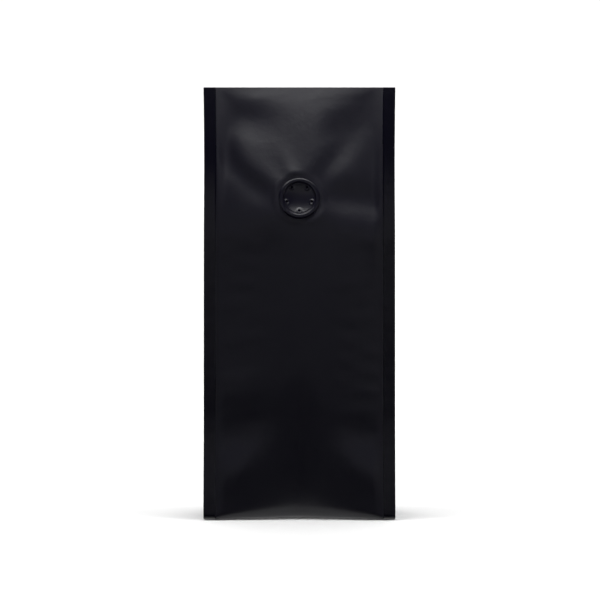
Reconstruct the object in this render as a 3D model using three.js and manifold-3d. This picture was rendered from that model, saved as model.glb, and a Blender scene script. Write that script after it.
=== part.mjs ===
// A tall black coffee bag with four sealed edges, standing on its folded base.
// A front and a back sheet of film are joined at both sides to a gusset, and each joint is a flat
// fin beside the sheet. The gussets fold inward towards the top, where the two sheets meet in a
// straight lip. At the foot both sheets turn under and end in one cross seal.
// A round venting valve sits behind the front sheet and shows as a ringed, dished disc.
// Millimetres, +Z up, the front faces -Y, and the origin is the middle of the base on the floor.
import * as THREE from 'three';
import { mergeVertices } from 'three/addons/utils/BufferGeometryUtils.js';
import Module from 'manifold-3d';

const { clamp, lerp, smoothstep, degToRad } = THREE.MathUtils;

// ---- Driving dimensions ----
const bagHeight = 228.5; // floor to lip
const bodyReach = 50.1; // centre line to a fin's edge, over the lower body
const lipReach = 51.35; // the same at the lip, where the sheet lies flat
const flareStart = 160; // the height where the sheet starts to widen
const finWidth = 6.2;
const finThickness = 0.9;
const gussetDepth = 65; // front seal to back seal, at the foot
const bodyLean = 2.5; // each seal draws in this much by the lip
const heelDepth = 3.8; // the seals stand out this much more at the foot
const heelLow = -8;
const heelHeight = 56;
const lipThickness = 2.4;
const shoulderHeight = 146; // the sheets lean together above this
const shoulderPower = 1.6;
const foldStart = 105; // the gussets fold inward above this
const lipFold = 29; // how far in the fold reaches at the lip
const foldPower = 1.5;

// How the filled bag swells and tucks
const bellyHeight = 120;
const bellyPowerUp = 2.2;
const bellyPowerDown = 2.3;
const frontBelly = 8.6;
const backBelly = 7.5;
const sideBelly = 1.4;
const sideBellyHeight = 60;
const creaseDent = 1.2; // the pressed fold line left down each gusset
const wallSwell = 1.6; // each half of a folded gusset, pushed out by the contents
const tuckDepth = 10; // the front and back draw in towards the cross seal
const tuckHeight = 80;
const tuckPower = 1.6;
const tuckSoftness = 0.12; // rounds the middle line of the tuck, as a share of the half width
const turnDepth = 4.9; // the round turn under at the foot
const turnHeight = 6.5;
const baseLift = 0.3;
const hollowShare = 0.8; // how near a hollow may come to the gusset folded behind it
const reliefEdge = 0.13; // the creases die out over this share of the half width, beside a seal
const reliefTop = 8; // and over this height under the lip

const crossSealWidth = 10;
const crossSealFront = -1.5; // the strip's front edge, from the middle plane

const valve = {
  height: 168,
  standOut: 31, // the flat film over it, from the middle plane
  tiltUp: 16.8, // degrees that this film looks up
  tiltAside: 7.2, // and to the right
  ringTilt: 2.7, // the valve leans back this much more
  flatReach: 10.9,
  blendReach: 15,
  radius: 11.2,
  thickness: 3.4, // behind the film
  ringRadius: 9.4,
  ringHeight: 1,
  dishRadius: 8.15,
  dishDepth: 1.4,
  ventCircle: 6.8,
  ventRadius: 0.6,
  ventDepth: 2.4,
  lipRadius: 1.15,
  lipHeight: 0.1,
  vents: 5,
  gap: 0.3,
};

// Swells and hollows of the sheets: x, z, turn in degrees, half length, half width, height
const frontSwells = [
  [40, 182, 90, 22, 6, -1.4], // the right seal pulls the film in
  [-40, 186, 90, 18, 6, -1.4], // and so does the left
  [40, 213, 14, 13, 8.5, -1.8], // a dent in the upper right corner
  [-42, 212, -10, 9, 8, -1.2], // and one in the upper left
  [41, 147, 92, 13, 4.6, 1.2],
  [-33.5, 213, -26, 24, 11.5, -3], // the hollow under the lip's left
  [36, 190.5, 64, 36, 16, -2.9], // the wide slack fold on the right
  [-44, 208, 112, 19.5, 7, -2.8],
  [-6, 166.5, 34, 22, 11.6, 2.75], // the film stands out over the valve
  [-38, 188, -40, 29, 6.7, -2.8], // the deep fold from the valve to the left seal
  [36, 167, -6, 45, 8.2, -2.4],
  [20.5, 204.5, -36, 8, 11, -2.2],
  [19.5, 190, 51, 27, 6.5, -2.2],
  [-15.5, 176, -29, 42, 7.2, 1.8],
  [-32, 46, 22, 20, 9.5, -1.5], // over the left end of the tuck
  [-36, 24, 40, 17, 8.5, 2],
  [37, 24, -42, 16, 8.5, 2.2], // and its right end
];
const backSwells = [
  [-36, 196, 58, 30, 9, -2.2],
  [35, 204, -62, 24, 8, -2],
  [15, 164, -18, 34, 11, 1],
  [-27, 176, 42, 24, 9, 1.2],
  [34, 48, -16, 22, 8, -2],
  [-35, 40, 10, 18, 7, -2.2],
];

// ---- Mesh density ----
const sheetSteps = 26;
const gussetHalfSteps = 6;
const footHeights = [0, 0.8, 2.1, 4.1, turnHeight];
const bodyRings = 22;
const shoulderRings = 19;

const halfDepthFull = gussetDepth / 2;
const lipHalf = lipThickness / 2;

// ---- The bag's shape, as functions of the height ----

// From the middle plane to the seals: a heel step, an even lean, and a power curve to the lip.
function halfDepth(z) {
  const rise = Math.max(0, (z - shoulderHeight) / (bagHeight - shoulderHeight));
  const fall = halfDepthFull - heelDepth - bodyLean - lipHalf;
  const heelStep = heelDepth * smoothstep(z, heelLow, heelHeight);
  return halfDepthFull - heelStep - (bodyLean * z) / bagHeight - fall * rise ** shoulderPower;
}

// From the centre line to a fin's edge: straight, then a parabola out to the lip.
function finReach(z) {
  const rise = Math.max(0, (z - flareStart) / (bagHeight - flareStart));
  return lerp(bodyReach, lipReach, rise ** 2);
}

const rootReach = (z) => finReach(z) - finWidth;

// How far a gusset's middle has folded inward: a power of a quarter sine.
function foldDepth(z) {
  const rise = clamp((z - foldStart) / (bagHeight - foldStart), 0, 1);
  return lipFold * Math.sin((rise * Math.PI) / 2) ** foldPower;
}

// A swell that is full at bellyHeight and nothing at the floor and the lip.
function bellyShare(z) {
  const above = clamp((z - bellyHeight) / (bagHeight - bellyHeight), 0, 1) ** bellyPowerUp;
  const below = clamp((bellyHeight - z) / bellyHeight, 0, 1) ** bellyPowerDown;
  return 1 - above - below;
}

// The sheet leans in over a triangle that stands on the foot.
function footTuck(across, z) {
  const aside = Math.hypot(across, tuckSoftness) - tuckSoftness * (1 - Math.abs(across));
  return tuckDepth * clamp(1 - aside - z / tuckHeight, 0, 1) ** tuckPower;
}

// The foot turns under in a round edge, which fades to nothing at the seals.
function footTurn(across, z) {
  const below = clamp(1 - z / turnHeight, 0, 1);
  return turnDepth * Math.sqrt(1 - Math.abs(across) ** 3) * (1 - Math.sqrt(1 - below ** 2));
}

// The creases: each is a bell over an ellipse.
function swellHeight(x, z, swells) {
  return swells.reduce((sum, [centre, high, turn, length, width, height]) => {
    const cos = Math.cos(degToRad(turn));
    const sin = Math.sin(degToRad(turn));
    const along = (x - centre) * cos + (z - high) * sin;
    const aside = (z - high) * cos - (x - centre) * sin;
    return sum + height * Math.exp(-((along / length) ** 2) - (aside / width) ** 2);
  }, 0);
}

// How far a sheet stands out: across runs from -1 to 1 between the fin roots. The creases die out
// at the seals and the lip, and a hollow stops short of the gusset folded behind it.
function sheetFace(across, z, belly, swells) {
  const fade = smoothstep(1 - Math.abs(across), 0, reliefEdge) * smoothstep(bagHeight - z, 0, reliefTop);
  const relief = swellHeight(across * rootReach(z), z, swells) * fade;
  const swell = belly * bellyShare(z) * (1 - across ** 2);
  const foldShare = clamp((rootReach(z) * (1 - Math.abs(across))) / Math.max(foldDepth(z), 1), 0, 1);
  const limit = 0.02 + hollowShare * (halfDepth(z) * foldShare + swell);
  const kept = relief < 0 ? limit * Math.tanh(relief / limit) : relief;
  return halfDepth(z) + swell + kept - footTuck(across, z);
}

// The flat place that the valve holds in the film.
function valvePlane(x, z) {
  const up = Math.tan(degToRad(valve.tiltUp));
  const aside = Math.tan(degToRad(valve.tiltAside));
  return valve.standOut - (z - valve.height) * up - x * aside;
}

function frontSheet(across, z) {
  const x = across * rootReach(z);
  const away = Math.hypot(x, z - valve.height);
  const flat = 1 - smoothstep(away, valve.flatReach, valve.blendReach);
  const face = lerp(sheetFace(across, z, frontBelly, frontSwells), valvePlane(x, z), flat);
  return footTurn(across, z) - face;
}

function backSheet(across, z) {
  return sheetFace(across, z, backBelly, backSwells) - footTurn(across, z);
}

// Where a gusset lies: side runs from -1 at the front seal, over 0 at the fold line, to 1.
function gussetReach(side, z) {
  const fromFold = Math.abs(side);
  const lower = clamp(z / sideBellyHeight, 0, 1) * (1 - smoothstep(z, sideBellyHeight, foldStart + 20));
  const belly = sideBelly * lower * (1 - side ** 2);
  const dent = creaseDent * (1 - fromFold) ** 3 * smoothstep(z, 0, 20);
  const fold = foldDepth(z);
  const swell = wallSwell * 4 * fromFold * (1 - fromFold) * Math.min(1, fold / 8) * (halfDepth(z) / halfDepthFull);
  return rootReach(z) + belly - dent - fold * (1 - fromFold) + swell;
}

// ---- One level section ----

const spread = (count) => Array.from({ length: count + 1 }, (_, i) => -1 + (2 * i) / count);

// The four runs of a section, each listed counter-clockwise as seen from above.
function sectionAt(z) {
  const tip = finReach(z);
  const root = rootReach(z);
  const depth = halfDepth(z);
  const inner = depth - finThickness;
  const lift = (across) => (z === 0 ? baseLift * (1 - across ** 2) : z);
  const front = spread(sheetSteps).map((u) => new THREE.Vector3(u * root, frontSheet(u, z), lift(u)));
  const back = spread(sheetSteps).map((u) => new THREE.Vector3(-u * root, backSheet(-u, z), lift(u)));
  const right = spread(2 * gussetHalfSteps).map((v) => new THREE.Vector3(gussetReach(v, z), v * inner, z));
  const left = right.map((p) => new THREE.Vector3(-p.x, -p.y, z));
  const corner = (sx, y) => new THREE.Vector3(sx * tip, y, z);
  return {
    front,
    right,
    back,
    left,
    tips: {
      frontLeft: corner(-1, -depth),
      frontRight: corner(1, -depth),
      frontRightInner: corner(1, -inner),
      backRightInner: corner(1, inner),
      backRight: corner(1, depth),
      backLeft: corner(-1, depth),
      backLeftInner: corner(-1, inner),
      frontLeftInner: corner(-1, -inner),
    },
  };
}

function loopOf({ front, right, back, left, tips }) {
  return [
    tips.frontLeft, ...front, tips.frontRight,
    tips.frontRightInner, ...right, tips.backRightInner,
    tips.backRight, ...back, tips.backLeft,
    tips.backLeftInner, ...left, tips.frontLeftInner,
  ];
}

// ---- Skinning ----

class Skin {
  points = [];

  triangle(a, b, c) {
    this.points.push(a, b, c);
  }

  quad(a, b, c, d) {
    this.triangle(a, b, c);
    this.triangle(a, c, d);
  }

  // A wall between two loops with the same number of points, the lower one first.
  wall(lower, upper) {
    lower.forEach((point, i) => {
      const next = (i + 1) % lower.length;
      this.quad(point, lower[next], upper[next], upper[i]);
    });
  }

  // Closes a section: rows of quads from the front sheet to the back sheet, and one quad a fin.
  cap(section, facingUp) {
    const { front, right, back, left, tips } = section;
    const backRow = [...back].reverse();
    const rightColumn = [front.at(-1), ...right, backRow.at(-1)];
    const leftColumn = [front[0], ...[...left].reverse(), backRow[0]];
    const rows = rightColumn.map((end, j) => {
      if (j === 0) return front;
      if (j === rightColumn.length - 1) return backRow;
      const start = leftColumn[j];
      const share = j / (rightColumn.length - 1);
      return front.map((low, i) => {
        if (i === 0) return start;
        if (i === front.length - 1) return end;
        const s = i / (front.length - 1);
        const point = new THREE.Vector3().lerpVectors(start, end, s);
        const sheets = lerp(low.y, backRow[i].y, share);
        const straight = lerp(front[0].y, backRow[0].y, share);
        point.y += sheets - straight;
        point.z = lerp(low.z, backRow[i].z, share);
        return point;
      });
    });
    const place = facingUp ? (a, b, c, d) => this.quad(a, b, c, d) : (a, b, c, d) => this.quad(d, c, b, a);
    for (let j = 0; j < rows.length - 1; j += 1) {
      for (let i = 0; i < front.length - 1; i += 1) {
        place(rows[j][i], rows[j][i + 1], rows[j + 1][i + 1], rows[j + 1][i]);
      }
    }
    place(front.at(-1), tips.frontRight, tips.frontRightInner, right[0]);
    place(right.at(-1), tips.backRightInner, tips.backRight, back[0]);
    place(back.at(-1), tips.backLeft, tips.backLeftInner, left[0]);
    place(left.at(-1), tips.frontLeftInner, tips.frontLeft, front[0]);
  }

  geometry() {
    return mergeVertices(new THREE.BufferGeometry().setFromPoints(this.points), 1e-4);
  }
}

// ---- Joining and cutting ----

const wasm = await Module();
wasm.setup();

function solidOf(geometry, matrix = new THREE.Matrix4()) {
  const bare = geometry.index ? geometry.toNonIndexed() : geometry.clone();
  const placed = new THREE.BufferGeometry().setAttribute('position', bare.getAttribute('position'));
  const merged = mergeVertices(placed.applyMatrix4(matrix), 1e-4);
  const vertProperties = new Float32Array(merged.attributes.position.array);
  const triVerts = new Uint32Array(merged.index.array);
  return new wasm.Manifold(new wasm.Mesh({ numProp: 3, vertProperties, triVerts }));
}

// Slivers thinner than a hundredth of a millimetre along the cuts are closed up.
function geometryOf(solid) {
  const { vertProperties, triVerts } = solid.simplify(0.01).getMesh();
  const geometry = new THREE.BufferGeometry();
  geometry.setAttribute('position', new THREE.BufferAttribute(new Float32Array(vertProperties), 3));
  geometry.setIndex(new THREE.BufferAttribute(new Uint32Array(triVerts), 1));
  geometry.computeVertexNormals();
  return geometry;
}

const boxBetween = (low, high) =>
  solidOf(
    new THREE.BoxGeometry(high[0] - low[0], high[1] - low[1], high[2] - low[2]),
    new THREE.Matrix4().makeTranslation((low[0] + high[0]) / 2, (low[1] + high[1]) / 2, (low[2] + high[2]) / 2),
  );

// ---- The valve's own frame: its centre on the film, its axis out of the film ----

const outward = new THREE.Vector3(
  Math.tan(degToRad(valve.tiltAside)),
  -1,
  Math.tan(degToRad(valve.tiltUp + valve.ringTilt)),
).normalize();
const sideways = new THREE.Vector3().crossVectors(outward, new THREE.Vector3(0, 0, -1)).normalize();
const downward = new THREE.Vector3().crossVectors(sideways, outward);
const valveFrame = new THREE.Object3D();
valveFrame.position.set(0, -valve.standOut, valve.height);
valveFrame.setRotationFromMatrix(new THREE.Matrix4().makeBasis(sideways, outward, downward));
valveFrame.updateMatrix();

const cylinderAlong = (radius, topRadius, low, high, x, z, sides) =>
  solidOf(
    new THREE.CylinderGeometry(topRadius, radius, high - low, sides),
    new THREE.Matrix4().makeTranslation(x, (low + high) / 2, z),
  );

// ---- Sub-parts ----

// The two sheets, gussets and fins as one skin, with the fins' turned-under ends and cross seal.
function bagBody() {
  const bodyHeights = Array.from({ length: bodyRings }, (_, i) =>
    lerp(turnHeight, shoulderHeight, (i + 1) / bodyRings),
  );
  const shoulderHeights = Array.from({ length: shoulderRings }, (_, i) =>
    lerp(shoulderHeight, bagHeight, (i + 1) / shoulderRings),
  );
  const sections = [...footHeights, ...bodyHeights, ...shoulderHeights].map(sectionAt);
  const loops = sections.map(loopOf);
  const skin = new Skin();
  for (let i = 0; i < loops.length - 1; i += 1) skin.wall(loops[i], loops[i + 1]);
  skin.cap(sections[0], false);
  skin.cap(sections.at(-1), true);

  const inset = 0.05; // keeps the turned fins a hair inside the standing ones
  const foot = halfDepthFull - finThickness / 2;
  const turnedFin = (side) => {
    const ends = [side * (rootReach(0) - 1), side * (bodyReach - inset)].sort((a, b) => a - b);
    return boxBetween([ends[0], -foot, 0], [ends[1], foot, finThickness]);
  };
  const crossSeal = boxBetween(
    [-bodyReach + 2 * inset, crossSealFront, 0],
    [bodyReach - 2 * inset, crossSealFront + crossSealWidth, finThickness],
  );
  const seat = solidOf(
    new THREE.CylinderGeometry(valve.radius + valve.gap, valve.radius + valve.gap, valve.thickness + 10, 48),
    new THREE.Matrix4().multiplyMatrices(
      valveFrame.matrix,
      new THREE.Matrix4().makeTranslation(0, (10 - valve.thickness) / 2 - valve.gap, 0),
    ),
  );
  return geometryOf(solidOf(skin.geometry()).add(turnedFin(-1)).add(turnedFin(1)).add(crossSeal).subtract(seat));
}

// A lathed disc with a raised ring and a dished face, pierced by five lipped vents.
function valveDisc() {
  const { radius, thickness, ringRadius, ringHeight, dishRadius, dishDepth } = valve;
  const ringPoints = Array.from({ length: 9 }, (_, i) => {
    const turn = (Math.PI * i) / 8; // over the ring from its foot outside to its foot inside
    const halfWidth = turn < Math.PI / 2 ? radius - 0.3 - ringRadius : ringRadius - dishRadius;
    return new THREE.Vector2(ringRadius + halfWidth * Math.cos(turn), ringHeight * Math.sin(turn));
  });
  const dishPoints = Array.from({ length: 5 }, (_, i) => {
    const r = dishRadius * (1 - (i + 1) / 5);
    return new THREE.Vector2(r, -dishDepth * (1 - (r / dishRadius) ** 2));
  });
  const outline = [
    new THREE.Vector2(0, -thickness),
    new THREE.Vector2(radius, -thickness),
    new THREE.Vector2(radius, 0),
    ...ringPoints,
    ...dishPoints,
  ];
  let disc = solidOf(new THREE.LatheGeometry(outline, 48));
  for (let i = 0; i < valve.vents; i += 1) {
    const turn = -Math.PI / 2 + (2 * Math.PI * i) / valve.vents;
    // The frame is turned over, so its Z runs down the bag: the first vent is the lowest.
    const x = valve.ventCircle * Math.cos(turn);
    const z = -valve.ventCircle * Math.sin(turn);
    const lip = cylinderAlong(valve.lipRadius, valve.ventRadius * 1.2, -0.5, valve.lipHeight, x, z, 16);
    const hole = cylinderAlong(valve.ventRadius, valve.ventRadius, -valve.ventDepth, 1, x, z, 12);
    disc = disc.add(lip).subtract(hole);
  }
  return geometryOf(disc);
}

// ---- Assembly ----

const film = new THREE.MeshStandardMaterial({ color: 0x141418, roughness: 0.5, metalness: 0 });
const valveFilm = new THREE.MeshStandardMaterial({ color: 0x17171b, roughness: 0.35, metalness: 0 });

const bag = new THREE.Mesh(bagBody(), film);
bag.name = 'bag';

const vent = new THREE.Mesh(valveDisc(), valveFilm);
vent.name = 'valve';
vent.position.copy(valveFrame.position);
vent.quaternion.copy(valveFrame.quaternion);

const part = new THREE.Group();
part.add(bag, vent);

export default part;
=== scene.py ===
import math

import bmesh
import bpy
import numpy as np
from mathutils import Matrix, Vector


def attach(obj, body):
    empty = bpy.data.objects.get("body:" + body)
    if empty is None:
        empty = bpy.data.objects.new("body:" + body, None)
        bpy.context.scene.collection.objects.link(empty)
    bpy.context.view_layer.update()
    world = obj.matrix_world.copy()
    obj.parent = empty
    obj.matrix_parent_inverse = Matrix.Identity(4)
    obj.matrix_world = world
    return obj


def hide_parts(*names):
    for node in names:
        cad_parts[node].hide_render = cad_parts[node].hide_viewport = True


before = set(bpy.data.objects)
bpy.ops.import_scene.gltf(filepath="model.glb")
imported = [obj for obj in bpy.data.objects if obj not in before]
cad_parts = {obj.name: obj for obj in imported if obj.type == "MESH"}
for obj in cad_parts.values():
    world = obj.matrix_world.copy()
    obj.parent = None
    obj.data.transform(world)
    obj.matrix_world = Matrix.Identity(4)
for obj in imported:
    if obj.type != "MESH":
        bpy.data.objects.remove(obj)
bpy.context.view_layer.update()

mm = 0.001
sumSteps = 4001  # how finely the packing of rows and columns is summed
print("frame loaded:", ", ".join(sorted(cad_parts)))

# Shapes are worked out in millimetres, with the front towards -Y.
bag = {
    "height": 228.5,  # floor to lip
    "bodyReach": 50.1,  # centre line to a fin's edge
    "lipReach": 51.35,
    "flareStart": 160.0,
    "gussetDepth": 65.0,  # front seal to back seal, at the foot
    "bodyLean": 2.5,  # each seal draws in this much by the lip
    "heelDepth": 3.8,  # the seals stand out this much more at the foot
    "heelRange": (-8.0, 56.0),
    "lipThickness": 1.3,
    "lipRings": ((0.3, 0.0), (0.15, 0.0), (0.0, 0.12)),  # under the top, and pinched in
    "shoulderHeight": 146.0,
    "shoulderPower": 1.6,
    "foldStart": 105.0,
    "lipFold": 29.0,
    "foldPower": 1.5,
    "bellyHeight": 120.0,
    "bellyPowerUp": 2.2,
    "bellyPowerDown": 2.3,
    "frontBelly": 8.6,
    "backBelly": 7.5,
    "tuckDepth": 10.0,
    "tuckHeight": 80.0,
    "tuckPower": 1.6,
    "tuckSoftness": 0.12,
    "turnDepth": 4.9,  # the round turn under at the foot
    "turnHeight": 6.5,
    "edgeTurn": 0.7,  # the tight turn at the corners and the sides
    "baseLift": 0.3,
    "baseHollow": 0.9,
    "flapHeight": 0.22,  # the folded gusset's layer under the base
    "flapInset": 4.0,  # the flap's slanting edge, in from the corner
    "flapSlant": 0.15,
    "flapStep": 1.0,
    "flapEnd": 2.0,
    "reliefEdge": 0.13,  # the creases die out over this share of the half width, beside a seal
    "reliefTop": 8.0,  # and over this height under the lip
    "hollowShare": 0.8,
    "hollowLeast": 0.02,
    "frontColumns": 176,
    "frontPacking": (0.3, 1.2),  # columns packed round the middle: spread and extra
    "backColumns": 64,
    "gussetColumns": 30,
    "baseRows": 34,
    "baseRange": (0.03, 0.97),
    "turnRows": 12,
    "wallRows": 264,
    "wallPacking": (0.06, 1.2),  # rows packed round the valve
}

# Faint cross ripples beside the middle of a sheet
ripple = {
    "height": 0.06,
    "pitches": (16.0, 9.7),
    "shortShare": 0.7,
    "slants": (2.2, 5.0),
    "bend": 3.1,
    "bendLength": 17.0,
    "bendSlant": 2.3,
    "aside": (0.25, 0.6),  # they begin between these shares of the half width
    "range": (24, 60, 140, 165),  # and rise and die out between these heights
}

# Swells and hollows of the front film: x, z, turn in degrees, half length, half width, height.
# Many of these rows are rounded results of a fitting program.
frontSwells = [
    (40, 182, 90, 22, 6, -1.4),  # the right seal pulls the film in
    (-40, 186, 90, 18, 6, -1.4),  # and so does the left
    (40, 213, 14, 13, 8.5, -1.8),  # a dent in the upper right corner
    (-42, 212, -10, 9, 8, -1.2),  # and one in the upper left
    (41, 147, 92, 13, 4.6, 1.2),
    (-33.5, 213, -26, 24, 11.5, -3.0),  # the hollow under the lip's left
    (36, 190.5, 64, 36, 16, -2.9),  # the wide slack fold on the right
    (-44, 208, 112, 19.5, 7, -2.8),
    (-6, 166.5, 34, 22, 11.6, 2.75),  # the film stands out over the valve
    (-38, 188, -40, 29, 6.7, -2.8),  # the deep fold from the valve to the left seal
    (36, 167, -6, 45, 8.2, -2.4),
    (20.5, 204.5, -36, 8, 11, -2.2),
    (19.5, 190, 51, 27, 6.5, -2.2),
    (-35, 220, 0, 17, 7.7, 1.6),
    (-1, 175, -66, 14, 4, 1.5),
    (-15.5, 176, -29, 42, 7.2, 1.8),
    (-32, 46, 22, 20, 9.5, -1.5),  # over the left end of the tuck
    (-36, 24, 40, 17, 8.5, 2.0),
    (-35, 70, 12, 20, 9, 0.6),
    (37, 24, -42, 16, 8.5, 2.2),  # and its right end
    (35, 44, -8, 15, 8, -1.1),
]
backSwells = [
    (-36, 196, 58, 30, 9, -2.2),
    (35, 204, -62, 24, 8, -2.0),
    (4, 206, 4, 20, 9, -1.3),
    (15, 164, -18, 34, 11, 1.0),
    (-27, 176, 42, 24, 9, 1.2),
    (34, 48, -16, 22, 8, -2.0),
    (-35, 40, 10, 18, 7, -2.2),
    (-34, 90, -12, 20, 8, -1.1),
]
# Creases of each gusset: y, z, turn in degrees, half length, half width, height
gussetSwells = [
    (13, 128, 58, 22, 3.4, 1.0),
    (-13, 132, -58, 20, 3.2, 1.1),
    (15, 96, 40, 16, 3.6, -0.8),
    (-16, 92, -46, 18, 3.4, -0.7),
    (10, 34, -30, 14, 4.5, 0.6),
    (-12, 28, 34, 16, 4.0, 0.7),
]
gusset = {
    "belly": 1.4,
    "bellyHeight": 60.0,
    "bellyEnd": 20.0,  # the belly is gone this far over foldStart
    "creaseDent": 1.2,
    "dentRange": (0, 20),
    "wallSwell": 1.6,
    "swellFold": 8.0,  # the walls swell in full where the fold is this deep
    "creaseShare": 0.7,
    "creaseEdge": 0.25,
    "creaseTop": (10, 40),
    "creaseFoot": (2, 12),
}

valve = {
    "height": 168.0,
    "standOut": 31.0,  # the flat film's distance from the bag's middle plane, at the centre
    "tiltUp": 16.8,
    "tiltAside": 7.2,
    "ringTilt": 2.7,  # the ring leans back this much more, so its foot stands out
    "radius": 11.2,
    "thickness": 3.0,
    "flatReach": 10.9,  # the film lies flat over the valve as far as this
    "blendReach": 15.0,
    "wellDepth": 2.8,  # the film makes room for the valve
    "wellReach": (7.6, 10.3),
    "crestRadius": 9.4,
    "crestHeight": 0.9,
    "grooveRadius": 8.15,
    "grooveDepth": 0.3,
    "grooveWidth": 0.3,
    "dishDepth": 2.0,
    "ventCircle": 6.8,
    "ventRadius": 0.42,
    "ventDepth": 0.9,
    "puckerRadius": 1.0,
    "puckerWidth": 0.5,
    "puckerHeight": 0.32,
    "vents": 5,
    "skirt": 0.1,  # the face runs this far past the rim, down into the film
    "wallShares": (0.3, 0.7, 1.0),
    "backShares": (0.7, 0.35),
    "innerGrid": (0.12, 5.4, 40),  # first radius, last radius and rings, inside the vents
    "outerRings": 72,
    "columns": 360,
}


def lerp(a, b, share):
    # a straight mix, from a at 0 to b at 1
    return a + (b - a) * share


def smooth(x, low, high):
    # cubic step from 0 at low to 1 at high
    share = np.clip((x - low) / (high - low), 0, 1)
    return share * share * (3 - 2 * share)


def spaced(low, high, count, centre, spread, extra):
    # points packed closer round centre: the running sum of 1 + extra * bell, cut into equal steps
    fine = np.linspace(low, high, sumSteps)
    weight = 1 + extra * np.exp(-(((fine - centre) / spread) ** 2))
    run = np.concatenate([[0], np.cumsum((weight[1:] + weight[:-1]) / 2)])
    return np.interp(np.linspace(0, run[-1], count), run, fine)


# ---- the film's shape ----


def halfDepth(z):
    # half the gusset, less a heel step, an even lean, and a power curve down to the lip
    half, lean, heel = bag["gussetDepth"] / 2, bag["bodyLean"], bag["heelDepth"]
    rise = np.clip((z - bag["shoulderHeight"]) / (bag["height"] - bag["shoulderHeight"]), 0, None)
    fall = half - heel - lean - bag["lipThickness"] / 2
    heelStep = heel * smooth(z, *bag["heelRange"])
    return half - heelStep - lean * z / bag["height"] - fall * rise ** bag["shoulderPower"]


def finReach(z):
    # straight, then a parabola out to the lip
    rise = np.clip((z - bag["flareStart"]) / (bag["height"] - bag["flareStart"]), 0, None)
    return lerp(bag["bodyReach"], bag["lipReach"], rise**2)


def rootReach(z):
    # the fin's edge, less its width
    return finReach(z) - fins["width"]


def foldDepth(z):
    # how far the gusset's middle has folded inward: a power of a quarter sine from foldStart
    rise = np.clip((z - bag["foldStart"]) / (bag["height"] - bag["foldStart"]), 0, 1)
    return bag["lipFold"] * np.sin(rise * math.pi / 2) ** bag["foldPower"]


def bellyShare(z):
    # 1 at bellyHeight, less a power of the way up to the lip or down to the floor
    high, top = bag["bellyHeight"], bag["height"]
    above = np.clip((z - high) / (top - high), 0, 1) ** bag["bellyPowerUp"]
    below = np.clip((high - z) / high, 0, 1) ** bag["bellyPowerDown"]
    return 1 - above - below


def footTuck(across, z):
    # a triangle that stands on the foot leans in, by a power of the way inside its edges
    soft = bag["tuckSoftness"]
    aside = np.hypot(across, soft) - soft * (1 - np.abs(across))
    inside = np.clip(1 - aside - z / bag["tuckHeight"], 0, 1)
    return bag["tuckDepth"] * inside ** bag["tuckPower"]


def swellHeight(across, z, swells):
    # each swell is a bell over an ellipse: height * exp(-(along / length)^2 - (aside / width)^2)
    total = np.zeros(np.broadcast(across, z).shape)
    for centre, high, turn, length, width, height in swells:
        cos, sin = math.cos(math.radians(turn)), math.sin(math.radians(turn))
        along = (across - centre) * cos + (z - high) * sin
        aside = (z - high) * cos - (across - centre) * sin
        total += height * np.exp(-((along / length) ** 2) - (aside / width) ** 2)
    return total


def ripples(across, z):
    # faint cross waves on both sides of a sheet's middle: sines of the height, bent by the place
    start, full, fade, end = ripple["range"]
    beside = smooth(np.abs(across), *ripple["aside"])
    share = beside * smooth(z, start, full) * (1 - smooth(z, fade, end))
    (long, short), (longSlant, shortSlant) = ripple["pitches"], ripple["slants"]
    sway = np.sin(z / ripple["bendLength"] + ripple["bendSlant"] * across)
    bend = ripple["bend"] * sway + longSlant * across
    waves = np.sin(z * 2 * math.pi / long + bend)
    waves = waves + ripple["shortShare"] * np.sin(z * 2 * math.pi / short - shortSlant * across)
    return ripple["height"] * share * waves


def sheetFace(across, z, belly, swells):
    # half depth, a parabola of belly across, and the relief, which dies out at the seals and the lip
    across, z = np.broadcast_arrays(across, z)
    edge = smooth(1 - np.abs(across), 0, bag["reliefEdge"])
    nearLip = smooth(bag["height"] - z, 0, bag["reliefTop"])
    relief = (swellHeight(across * rootReach(z), z, swells) + ripples(across, z)) * edge * nearLip
    swell = belly * bellyShare(z) * (1 - across**2)
    # a hollow stops short of the gusset folded behind it: limit * tanh(relief / limit)
    foldShare = np.clip(rootReach(z) * (1 - np.abs(across)) / np.maximum(foldDepth(z), 1), 0, 1)
    limit = bag["hollowLeast"] + bag["hollowShare"] * (halfDepth(z) * foldShare + swell)
    relief = np.where(relief < 0, limit * np.tanh(relief / limit), relief)
    return halfDepth(z) + swell + relief - footTuck(across, z)


def valvePlane(x, z, extraTilt=0.0):
    # the flat place over the valve, in front of the middle plane: standOut less a slope up and aside
    up = math.tan(math.radians(valve["tiltUp"] + extraTilt))
    aside = math.tan(math.radians(valve["tiltAside"]))
    return valve["standOut"] - (z - valve["height"]) * up - x * aside


def frontSheet(across, z):
    # the free sheet, drawn flat where the valve is, with room for the valve behind it
    x = across * rootReach(z)
    r = np.hypot(x, z - valve["height"])
    flat = 1 - smooth(r, valve["flatReach"], valve["blendReach"])
    face = lerp(sheetFace(across, z, bag["frontBelly"], frontSwells), valvePlane(x, z), flat)
    return -face + valve["wellDepth"] * (1 - smooth(r, *valve["wellReach"]))


def backSheet(across, z):
    # the back's own belly and creases
    return sheetFace(across, z, bag["backBelly"], backSwells)


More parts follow.
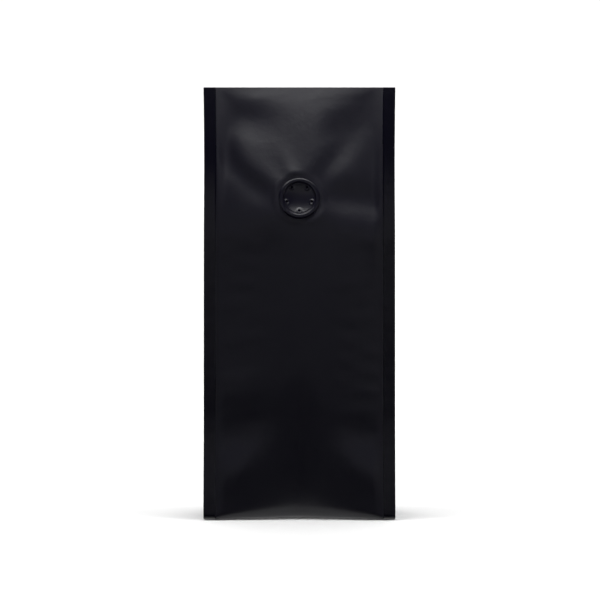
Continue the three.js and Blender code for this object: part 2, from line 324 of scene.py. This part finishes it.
def gussetReach(side, z, sign):
    # the wall between two seals: a belly low down, a V fold that deepens to the lip, a swell of
    # 4 * share * (1 - share) on both sides of the fold, a cubic dent at its middle, and creases
    fromFold = np.abs(side)
    rising = np.clip(z / gusset["bellyHeight"], 0, 1)
    falling = 1 - smooth(z, gusset["bellyHeight"], bag["foldStart"] + gusset["bellyEnd"])
    belly = gusset["belly"] * rising * falling * (1 - side**2)
    dent = gusset["creaseDent"] * (1 - fromFold) ** 3 * smooth(z, *gusset["dentRange"])
    fold = foldDepth(z)
    full = halfDepth(z) / (bag["gussetDepth"] / 2)
    folding = np.clip(fold / gusset["swellFold"], 0, 1)
    swell = gusset["wallSwell"] * 4 * fromFold * (1 - fromFold) * folding * full
    nearLip, nearFloor = smooth(bag["height"] - z, *gusset["creaseTop"]), smooth(z, *gusset["creaseFoot"])
    edge = smooth(1 - fromFold, 0, gusset["creaseEdge"]) * nearLip * nearFloor
    crease = swellHeight(sign * side * halfDepth(z), z, gussetSwells) * edge
    folded = fold * (1 - fromFold)
    return rootReach(z) + belly - dent - folded + swell + crease * gusset["creaseShare"]


# ---- meshes ----


def meshObject(name, points, quads, triangles=()):
    # one mesh from arrays, in metres
    mesh = bpy.data.meshes.new(name)
    faces = [tuple(q) for q in quads.tolist()] + [tuple(t) for t in triangles]
    mesh.from_pydata((np.asarray(points) * mm).tolist(), [], faces)
    mesh.validate()
    mesh.polygons.foreach_set("use_smooth", np.ones(len(mesh.polygons), dtype=bool))
    mesh.update()
    piece = bpy.data.objects.new(name, mesh)
    bpy.context.collection.objects.link(piece)
    return piece


def facesOutward(piece):
    # recalculates the normals of a closed mesh
    work = bmesh.new()
    work.from_mesh(piece.data)
    bmesh.ops.recalc_face_normals(work, faces=work.faces)
    work.to_mesh(piece.data)
    work.free()


def ringQuads(rows, columns):
    # quads between successive closed rings of the same count
    i = np.arange(rows - 1)[:, None] * columns
    j = np.arange(columns)[None, :]
    nextJ = (j + 1) % columns
    corners = [i + j, i + nextJ, i + columns + nextJ, i + columns + j]
    return np.stack(corners, axis=-1).reshape(-1, 4)


def poleTriangles(ring, pole):
    # a fan from a closed ring of point numbers to one pole
    return np.stack([ring, np.roll(ring, -1), np.full(len(ring), pole)], axis=-1)


def closedLoft(name, rings, startPole, endPole):
    # rings is rows x columns x 3; a pole closes each end
    rows, columns, _ = rings.shape
    points = np.concatenate([rings.reshape(-1, 3), [startPole], [endPole]])
    first = np.arange(columns)
    last = first + (rows - 1) * columns
    fans = [poleTriangles(first[::-1], rows * columns), poleTriangles(last, rows * columns + 1)]
    piece = meshObject(name, points, ringQuads(rows, columns), np.concatenate(fans).tolist())
    facesOutward(piece)
    return piece


# ---- the film body ----

# one section's columns, counter-clockwise from above: front, right gusset, back, left gusset
frontAcross = spaced(-1, 1, bag["frontColumns"], 0, *bag["frontPacking"])
backAcross = np.linspace(1, -1, bag["backColumns"])
gussetSide = np.linspace(-1, 1, bag["gussetColumns"] + 2)[1:-1]
columnCounts = np.cumsum([len(frontAcross), len(gussetSide), len(backAcross)])


def filmRing(level, inward):
    # a closed section, with a height and a shift towards the middle for each column
    zFront, zRight, zBack, zLeft = np.split(level, columnCounts)
    inFront, inRight, inBack, inLeft = np.split(inward, columnCounts)
    shrink = 1 - inRight[0] / bag["bodyReach"]
    frontX = frontAcross * rootReach(zFront) * shrink
    backX = backAcross * rootReach(zBack) * shrink
    rightX = gussetReach(gussetSide, zRight, 1) - inRight
    leftX = -gussetReach(gussetSide, zLeft, -1) + inLeft
    rightY = gussetSide * (halfDepth(zRight) - fins["gussetSetback"])
    leftY = -gussetSide * (halfDepth(zLeft) - fins["gussetSetback"])
    parts = [
        (frontX, frontSheet(frontAcross, zFront) + inFront, zFront),
        (rightX, rightY, zRight),
        (backX, backSheet(backAcross, zBack) - inBack, zBack),
        (leftX, leftY, zLeft),
    ]
    return np.concatenate([np.stack(part, axis=-1) for part in parts])


def flapRelief(x, y):
    # under the base each gusset folds to a flap: a trapezium, its slanting edges at 45 degrees
    toSide = bag["bodyReach"] - np.abs(x)
    inside = toSide - np.abs(y) * bag["flapSlant"]
    edge = np.abs(y) - toSide - bag["flapInset"]
    return bag["flapHeight"] * smooth(-edge, -bag["flapStep"], 0) * smooth(inside, 0, bag["flapEnd"])


def archShare(across):
    # how much of the foot's round turn a column has: the root of 1 - |across|^3
    return np.sqrt(np.clip(1 - np.abs(across) ** 3, 0, None))


def buildBody():
    # rings under the base, round the foot's turn, up the wall, and in over the lip
    flat = np.zeros(len(gussetSide))
    roundness = np.concatenate([archShare(frontAcross), flat, archShare(backAcross), flat])
    turnIn = bag["edgeTurn"] + bag["turnDepth"] * roundness
    turnUp = bag["edgeTurn"] + bag["turnHeight"] * roundness
    foot = filmRing(np.full(len(turnIn), bag["baseLift"]), turnIn)
    under = []
    for share in np.linspace(*bag["baseRange"], bag["baseRows"]):
        ring = foot * np.array([share, share, 1.0])
        ring[:, 2] += bag["baseHollow"] * (1 - share**2) - flapRelief(ring[:, 0], ring[:, 1])
        under.append(ring)
    turn = []
    for angle in np.linspace(0, math.pi / 2, bag["turnRows"])[:-1]:
        level = bag["baseLift"] + turnUp * (1 - math.cos(angle))
        turn.append(filmRing(level, turnIn * (1 - math.sin(angle))))
    start = bag["baseLift"] + turnUp
    straight = np.zeros(len(start))
    wall = []
    valveShare = valve["height"] / bag["height"]
    for share in spaced(0, 1, bag["wallRows"], valveShare, *bag["wallPacking"])[:-1]:
        wall.append(filmRing(lerp(start, bag["height"], share), straight))
    lip = []
    for drop, pinch in bag["lipRings"]:
        ring = filmRing(np.full(len(start), bag["height"] - drop), straight)
        lip.append(ring - np.sign(ring) * [0, pinch, 0])
    rings = np.array(under + turn + wall + lip)
    startPole = [0, 0, bag["baseLift"] + bag["baseHollow"]]
    return closedLoft("bagFilm", rings, startPole, [0, 0, bag["height"]])


# ---- the corner fins ----

fins = {
    "width": 6.2,
    "thickness": 0.5,
    "overlap": 0.3,  # how far a fin runs in over the sheet
    "gussetSetback": 0.3,  # the gusset starts behind the fin
    "footBend": 2.3,
    "ribPitch": 1.4,
    "ribHeight": 0.005,
    "waveHeight": 0.1,
    "waveLengths": (11.0, 37.0),
    "bottom": 0.3,  # the turned end's outer face, over the floor
    "underEnd": 0.5,  # how near the middle plane the turned end stops
    "steps": 900,
    "bendSteps": 12,
    "underSteps": 110,
    "flatColumns": 6,
    "edgeColumns": 5,
}
# the four corners: side, front or back, and the phase of the fin's waves
finCorners = ((1, 1, 0.0), (1, -1, 1.9), (-1, 1, 3.1), (-1, -1, 4.6))


def finPath():
    # in the YZ plane of the front: down from the lip, round a tight bend, and in to the cross seal
    bend = fins["footBend"]
    bottom = fins["bottom"] + bend
    z = np.linspace(bag["height"], bottom, fins["steps"])
    down = np.stack([-halfDepth(z), z], axis=-1)
    corner = -float(halfDepth(np.array(bottom)))
    angle = np.linspace(0, math.pi / 2, fins["bendSteps"])[1:]
    turn = np.stack([corner + bend * (1 - np.cos(angle)), bottom - bend * np.sin(angle)], axis=-1)
    y = np.linspace(corner + bend, -fins["underEnd"], fins["underSteps"])[1:]
    under = np.stack([y, np.full(len(y), bottom - bend)], axis=-1)
    return np.concatenate([down, turn, under])


def buildFins():
    # each fin is a thin rounded section carried along its path, pressed into fine cross ribs
    path = finPath()
    step = np.gradient(path, axis=0)
    step /= np.linalg.norm(step, axis=1)[:, None]
    normal = np.stack([step[:, 1], -step[:, 0]], axis=-1)  # out of the bag
    run = np.concatenate([[0], np.cumsum(np.linalg.norm(np.diff(path, axis=0), axis=1))])
    half, flatCount = fins["thickness"] / 2, fins["flatColumns"]
    flatX = np.linspace(-fins["overlap"], fins["width"] - half, flatCount)
    edge = np.linspace(math.pi / 2, -math.pi / 2, fins["edgeColumns"] + 2)[1:-1]
    across = np.concatenate([flatX, fins["width"] - half + half * np.cos(edge), flatX[::-1]])
    depth = np.concatenate([np.full(flatCount, half), half * np.sin(edge), np.full(flatCount, -half)])
    columns = len(across)
    outer = (np.arange(columns) < flatCount).astype(float)  # only the outer face has ribs
    ribs = fins["ribHeight"] * np.sin(run * 2 * math.pi / fins["ribPitch"])
    short, long = fins["waveLengths"]
    root, tip = rootReach(path[:, 1]), finReach(path[:, 1])
    points, quads, triangles = [], [], []
    offset = 0
    for sx, sy, phase in finCorners:
        waves = fins["waveHeight"] * np.sin(run / short + phase) * np.sin(run / long + 2 * phase)
        away = (depth - half)[None, :] + ribs[:, None] * outer[None, :] + waves[:, None]
        x = root[:, None] + across[None, :] * ((tip - root) / fins["width"])[:, None]
        y = path[:, 0, None] + normal[:, 0, None] * away
        z = path[:, 1, None] + normal[:, 1, None] * away
        fin = np.stack([sx * x, sy * y, z], axis=-1)
        block = np.concatenate([fin.reshape(-1, 3), [fin[0].mean(axis=0)], [fin[-1].mean(axis=0)]])
        first = np.arange(columns) + offset
        last = first + (len(path) - 1) * columns
        pole = offset + len(block) - 2
        points.append(block)
        quads.append(ringQuads(len(path), columns) + offset)
        triangles += [poleTriangles(first[::-1], pole), poleTriangles(last, pole + 1)]
        offset += len(block)
    ends = np.concatenate(triangles).tolist()
    piece = meshObject("cornerFins", np.concatenate(points), np.concatenate(quads), ends)
    facesOutward(piece)
    return piece


# ---- the cross seal under the base ----

crossSealStrip = {
    "front": -1.5,
    "width": 10.0,
    "thickness": 0.55,
    "lift": 0.02,
    "endInset": 0.3,
    "ribPitch": 1.0,
    "ribHeight": 0.05,
    "stepsAlong": 240,
    "stepsAcross": 60,
}


def buildSeal():
    # a flat strip along the base, its faces pressed into ribs along its length
    strip = crossSealStrip
    end = bag["bodyReach"] - strip["endInset"]
    x = np.linspace(-end, end, strip["stepsAlong"])
    y = np.linspace(strip["front"], strip["front"] + strip["width"], strip["stepsAcross"])
    gx, gy = np.meshgrid(x, y, indexing="ij")
    ribs = strip["ribHeight"] * np.sin(gy * 2 * math.pi / strip["ribPitch"])
    bottom = np.stack([gx, gy, strip["lift"] + strip["ribHeight"] - ribs], axis=-1)
    top = np.stack([gx, gy, bottom[..., 2] + strip["thickness"]], axis=-1)
    section = np.concatenate([bottom, top[:, ::-1]], axis=1)
    return closedLoft("crossSeal", section, section[0].mean(axis=0), section[-1].mean(axis=0))


# ---- the valve ----


def valveProfile(r):
    # height over the valve's plane: a bowl, a tight groove, and a round ring whose side runs down
    # into the film: crest * (1 - (inner share)^2.6) inside, crest * (1 - 2 * (outer share)^3) outside
    bowl = -valve["dishDepth"] * (1 - np.clip(r / valve["grooveRadius"], 0, 1) ** 2)
    crest, inner = valve["crestRadius"], valve["crestRadius"] - valve["grooveRadius"]
    inShare = np.clip((crest - r) / inner, 0, 1)
    outShare = np.clip((r - crest) / (valve["radius"] - crest), 0, None)
    ring = valve["crestHeight"] * (1 - inShare**2.6 - 2 * outShare**3)
    groove = valve["grooveDepth"] * np.exp(-(((r - valve["grooveRadius"]) / valve["grooveWidth"]) ** 2))
    return np.where(r < valve["grooveRadius"], bowl, ring) - groove


def buildValve():
    # a polar grid of the profile, with five pierced and puckered vents, closed by a wall and a back
    first, middleReach, innerRings = valve["innerGrid"]
    inner = np.linspace(first, middleReach, innerRings, endpoint=False)
    outer = np.linspace(middleReach, valve["radius"] + valve["skirt"], valve["outerRings"])
    r = np.concatenate([inner, outer])
    turn = np.linspace(0, 2 * math.pi, valve["columns"], endpoint=False)
    rr, tt = np.meshgrid(r, turn, indexing="ij")
    x, z = rr * np.cos(tt), rr * np.sin(tt)
    height = valveProfile(rr)
    for i in range(valve["vents"]):
        angle = -math.pi / 2 + 2 * math.pi * i / valve["vents"]
        ventX, ventZ = valve["ventCircle"] * math.cos(angle), valve["ventCircle"] * math.sin(angle)
        away = np.hypot(x - ventX, z - ventZ)
        rim = ((away - valve["puckerRadius"]) / valve["puckerWidth"]) ** 2
        height += valve["puckerHeight"] * np.exp(-rim)
        height -= valve["ventDepth"] * np.exp(-((away / valve["ventRadius"]) ** 4))
    z = z + valve["height"]
    top = np.stack([x, -valvePlane(x, z, valve["ringTilt"]) - height, z], axis=-1)
    wall = [top[-1] + [0, valve["thickness"] * share, 0] for share in valve["wallShares"]]
    middle = np.array([0, -valve["standOut"] + valve["thickness"], valve["height"]])
    back = [lerp(middle, wall[-1], share) for share in valve["backShares"]]
    rings = np.concatenate([top, np.stack(wall + back)])
    front = [0, -valve["standOut"] - float(valveProfile(np.array(0.0))), valve["height"]]
    return closedLoft("ventValve", rings, front, middle)


print("making the film body")
bagFilm = buildBody()
print("making the fins, the cross seal and the valve")
cornerFins = buildFins()
crossSeal = buildSeal()
ventValve = buildValve()
for piece in (bagFilm, cornerFins, crossSeal, ventValve):
    print(piece.name, "triangles:", sum(len(face.vertices) - 2 for face in piece.data.polygons))

# ---- materials ----

filmSurface = {
    "roughnessDrift": 0.05,
    "grainDetail": 2,
    "grainBump": (0.12, 0.0001),  # strength, and depth in metres
    "driftDetail": 3,
    "mottleScale": 170,
    "mottleDetail": 3,
    "mottleBump": (1.0, 0.00016),
}


def nodesOf(name):
    # a new material with its nodes and links
    material = bpy.data.materials.new(name)
    material.use_nodes = True
    return material, material.node_tree.nodes, material.node_tree.links


def noiseNode(nodes, links, place, scale, detail):
    # fractal noise over the piece's own coordinates
    noise = nodes.new("ShaderNodeTexNoise")
    noise.inputs["Scale"].default_value = scale
    noise.inputs["Detail"].default_value = detail
    links.new(place.outputs["Object"], noise.inputs["Vector"])
    return noise


def bumpNode(nodes, links, noise, amount):
    # the noise as relief: a strength and a depth
    bump = nodes.new("ShaderNodeBump")
    bump.inputs["Strength"].default_value, bump.inputs["Distance"].default_value = amount
    links.new(noise.outputs["Fac"], bump.inputs["Height"])
    return bump


def filmMaterial(name, colour, roughness, specular, grain, drift):
    # dark film: even colour, fine grain and a coarser mottle in the bump, slow drifts in roughness
    material, nodes, links = nodesOf(name)
    shader = nodes["Principled BSDF"]
    shader.inputs["Base Color"].default_value = (*colour, 1)
    shader.inputs["Specular IOR Level"].default_value = specular
    place = nodes.new("ShaderNodeTexCoord")
    fine = noiseNode(nodes, links, place, grain, filmSurface["grainDetail"])
    slow = noiseNode(nodes, links, place, drift, filmSurface["driftDetail"])
    mottle = noiseNode(nodes, links, place, filmSurface["mottleScale"], filmSurface["mottleDetail"])
    spread = nodes.new("ShaderNodeMapRange")
    spread.inputs["To Min"].default_value = roughness - filmSurface["roughnessDrift"]
    spread.inputs["To Max"].default_value = roughness + filmSurface["roughnessDrift"]
    links.new(slow.outputs["Fac"], spread.inputs["Value"])
    links.new(spread.outputs["Result"], shader.inputs["Roughness"])
    grainBump = bumpNode(nodes, links, fine, filmSurface["grainBump"])
    mottleBump = bumpNode(nodes, links, mottle, filmSurface["mottleBump"])
    links.new(grainBump.outputs["Normal"], mottleBump.inputs["Normal"])
    links.new(mottleBump.outputs["Normal"], shader.inputs["Normal"])
    return material


# Each film: colour, roughness, specular level, and how fine its grain and its slow drifts are
films = {
    "matteFilm": ((0.0010, 0.0008, 0.0034), 0.5, 0.5, 2600, 30),
    "sealedFilm": ((0.0010, 0.0009, 0.0024), 0.22, 0.3, 2600, 60),
    "valveFilm": ((0.0013, 0.0011, 0.0036), 0.33, 0.5, 3000, 90),
}
film, sealedFilm, valveFilm = [filmMaterial(name, *look) for name, look in films.items()]
bagFilm.data.materials.append(film)
cornerFins.data.materials.append(sealedFilm)
crossSeal.data.materials.append(sealedFilm)
ventValve.data.materials.append(valveFilm)

for piece in (bagFilm, cornerFins, crossSeal):
    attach(piece, "root")
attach(ventValve, "root")
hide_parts("bag")
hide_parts("valve")

# ---- studio ----

studio = {
    "cameraDistance": 1200.0,  # to the plane of the front seals
    "cameraHeight": 114.7,
    "cameraAside": 0.3,
    "sensorWidth": 36.0,
    "clipRange": (0.05, 20.0),  # in metres
    "frameWidth": 313.6,  # what the frame spans in that plane
    "frontPlane": -29.0,
    "floorFront": 1600.0,
    "floorBack": 2600.0,
    "floorSide": 2400.0,
    "wallHeight": 2200.0,
    "wallBend": 500.0,
    "wallBendSteps": 24,
    "floorDrop": 0.2,  # keeps the paper a hair under the base
    "cardReach": 90.0,
    "cardRange": (-33.0, 60.0),
    "backdropReach": 3800.0,
    "backdropRange": (-2500.0, 5000.0),
    "backdropSides": 96,
    "paperRoughness": 0.9,
    "paperSpecular": 0.1,
    "roomColour": (0.014, 0.014, 0.016, 1),
}


def buildSweep():
    # floor, round bend and wall as one profile carried sideways
    bend = np.linspace(0, math.pi / 2, studio["wallBendSteps"])
    r, back = studio["wallBend"], studio["floorBack"]
    y = np.concatenate([[-studio["floorFront"]], back - r + r * np.sin(bend), [back]])
    z = np.concatenate([[0], r - r * np.cos(bend), [studio["wallHeight"]]]) - studio["floorDrop"]
    left = np.stack([np.full(len(y), -studio["floorSide"]), y, z], axis=-1)
    right = left * [-1, 1, 1]
    points = np.stack([left, right], axis=1).reshape(-1, 3)
    i = np.arange(len(y) - 1) * 2
    quads = np.stack([i, i + 1, i + 3, i + 2], axis=-1)
    return meshObject("floorSweep", points, quads)


def buildBackdrop():
    # a round wall far outside the floor: two rings of the same circle
    turn = np.linspace(0, 2 * math.pi, studio["backdropSides"], endpoint=False)
    reach = studio["backdropReach"]
    ring = np.stack([reach * np.cos(turn), reach * np.sin(turn), np.zeros(len(turn))], axis=-1)
    points = np.concatenate([ring + [0, 0, level] for level in studio["backdropRange"]])
    return meshObject("backdrop", points, ringQuads(2, len(turn)))


floorSweep = buildSweep()
floorSweep.visible_glossy = False  # the film mirrors the dim room in front, not the paper
cardX, (cardFront, cardBack) = studio["cardReach"], studio["cardRange"]
cardCorners = [[-cardX, cardFront, 0], [cardX, cardFront, 0], [cardX, cardBack, 0], [-cardX, cardBack, 0]]
footCard = meshObject("footCard", cardCorners, np.array([[0, 1, 2, 3]]))
footCard.visible_camera = False  # only the film's foot mirrors it
footCard.visible_diffuse = False
footCard.visible_shadow = False
backdrop = buildBackdrop()
backdrop.visible_diffuse = False  # only the camera sees it, in views from the sides
backdrop.visible_glossy = False
backdrop.visible_shadow = False
# each sheet with its shade and its glow
for sheet, shade, glow in ((floorSweep, 0.46, 0.0), (footCard, 0.1, 0.62), (backdrop, 0.0, 0.8)):
    paper, nodes, _ = nodesOf(sheet.name + "Paper")
    sockets = nodes["Principled BSDF"].inputs
    sockets["Base Color"].default_value = (shade, shade, shade, 1)
    sockets["Emission Color"].default_value = (1, 1, 1, 1)
    sockets["Emission Strength"].default_value = glow
    sockets["Roughness"].default_value = studio["paperRoughness"]
    sockets["Specular IOR Level"].default_value = studio["paperSpecular"]
    sheet.data.materials.append(paper)

# Each lamp: place, what it points at, size in metres, watts, and whether the film mirrors it
lamps = {
    "overheadBox": ((0, 0, 1150), (0, 0, 0), (0.9, 0.42), 5.9, True),
    "paperLight": ((0, -900, 800), (0, -100, 0), (3.6, 0.7), 6, False),
    "softFront": ((0, -1100, 160), (0, 0, 120), (1.0, 0.3), 6, False),
    "topWash": ((0, -150, 1150), (0, -150, 0), (1.2, 0.2), 24, False),
    "backWash": ((0, 600, 1100), (0, 900, 0), (1.6, 0.5), 8, True),
    "floorWash": ((0, 1300, 1300), (0, 1500, 0), (2.4, 0.5), 25, True),
    "wallWash": ((0, 1700, 1700), (0, 2550, 250), (3.0, 0.5), 64, True),
    "rearFill": ((0, 2100, 450), (0, 0, 200), (5.0, 0.9), 4.4, True),
    "leftRearFill": ((-2300, 400, 450), (0, 0, 200), (2.8, 0.9), 2.5, True),
    "rightRearFill": ((2300, 400, 450), (0, 0, 200), (2.8, 0.9), 2.5, True),
    "roomFill": ((0, -2400, 550), (0, 0, 200), (6.0, 0.9), 5.0, True),
    "highFill": ((0, -2300, 1350), (0, 0, 200), (3.2, 0.75), 2.2, True),
    "leftFill": ((-2300, -1300, 500), (0, 0, 200), (2.0, 0.9), 1.6, True),
    "rightFill": ((2300, -1300, 500), (0, 0, 200), (2.0, 0.9), 2.4, True),
}
for name, (place, target, size, power, mirrored) in lamps.items():
    light = bpy.data.lights.new(name, "AREA")
    light.shape = "RECTANGLE"
    light.size, light.size_y = size
    light.energy = power
    lamp = bpy.data.objects.new(name, light)
    lamp.visible_camera = False
    lamp.visible_glossy = mirrored
    bpy.context.collection.objects.link(lamp)
    lamp.location = [c * mm for c in place]
    aim = Vector(target) - Vector(place)
    lamp.rotation_euler = aim.to_track_quat("-Z", "Y").to_euler()
print("lamps:", len(lamps))

world = bpy.data.worlds.new("room")
bpy.context.scene.world = world
world.use_nodes = True
world.node_tree.nodes["Background"].inputs["Color"].default_value = studio["roomColour"]
world.node_tree.nodes["Background"].inputs["Strength"].default_value = 1.0

cameraData = bpy.data.cameras.new("camera")
cameraData.sensor_width = studio["sensorWidth"]
cameraData.lens = studio["sensorWidth"] * studio["cameraDistance"] / studio["frameWidth"]
cameraData.clip_start, cameraData.clip_end = studio["clipRange"]
camera = bpy.data.objects.new("camera", cameraData)
bpy.context.collection.objects.link(camera)
place = (studio["cameraAside"], studio["frontPlane"] - studio["cameraDistance"], studio["cameraHeight"])
camera.location = [c * mm for c in place]
camera.rotation_euler = (math.pi / 2, 0, 0)
bpy.context.scene.camera = camera
bpy.context.scene.view_settings.view_transform = "Standard"
bpy.context.scene.view_settings.look = "None"

print("scene ready")
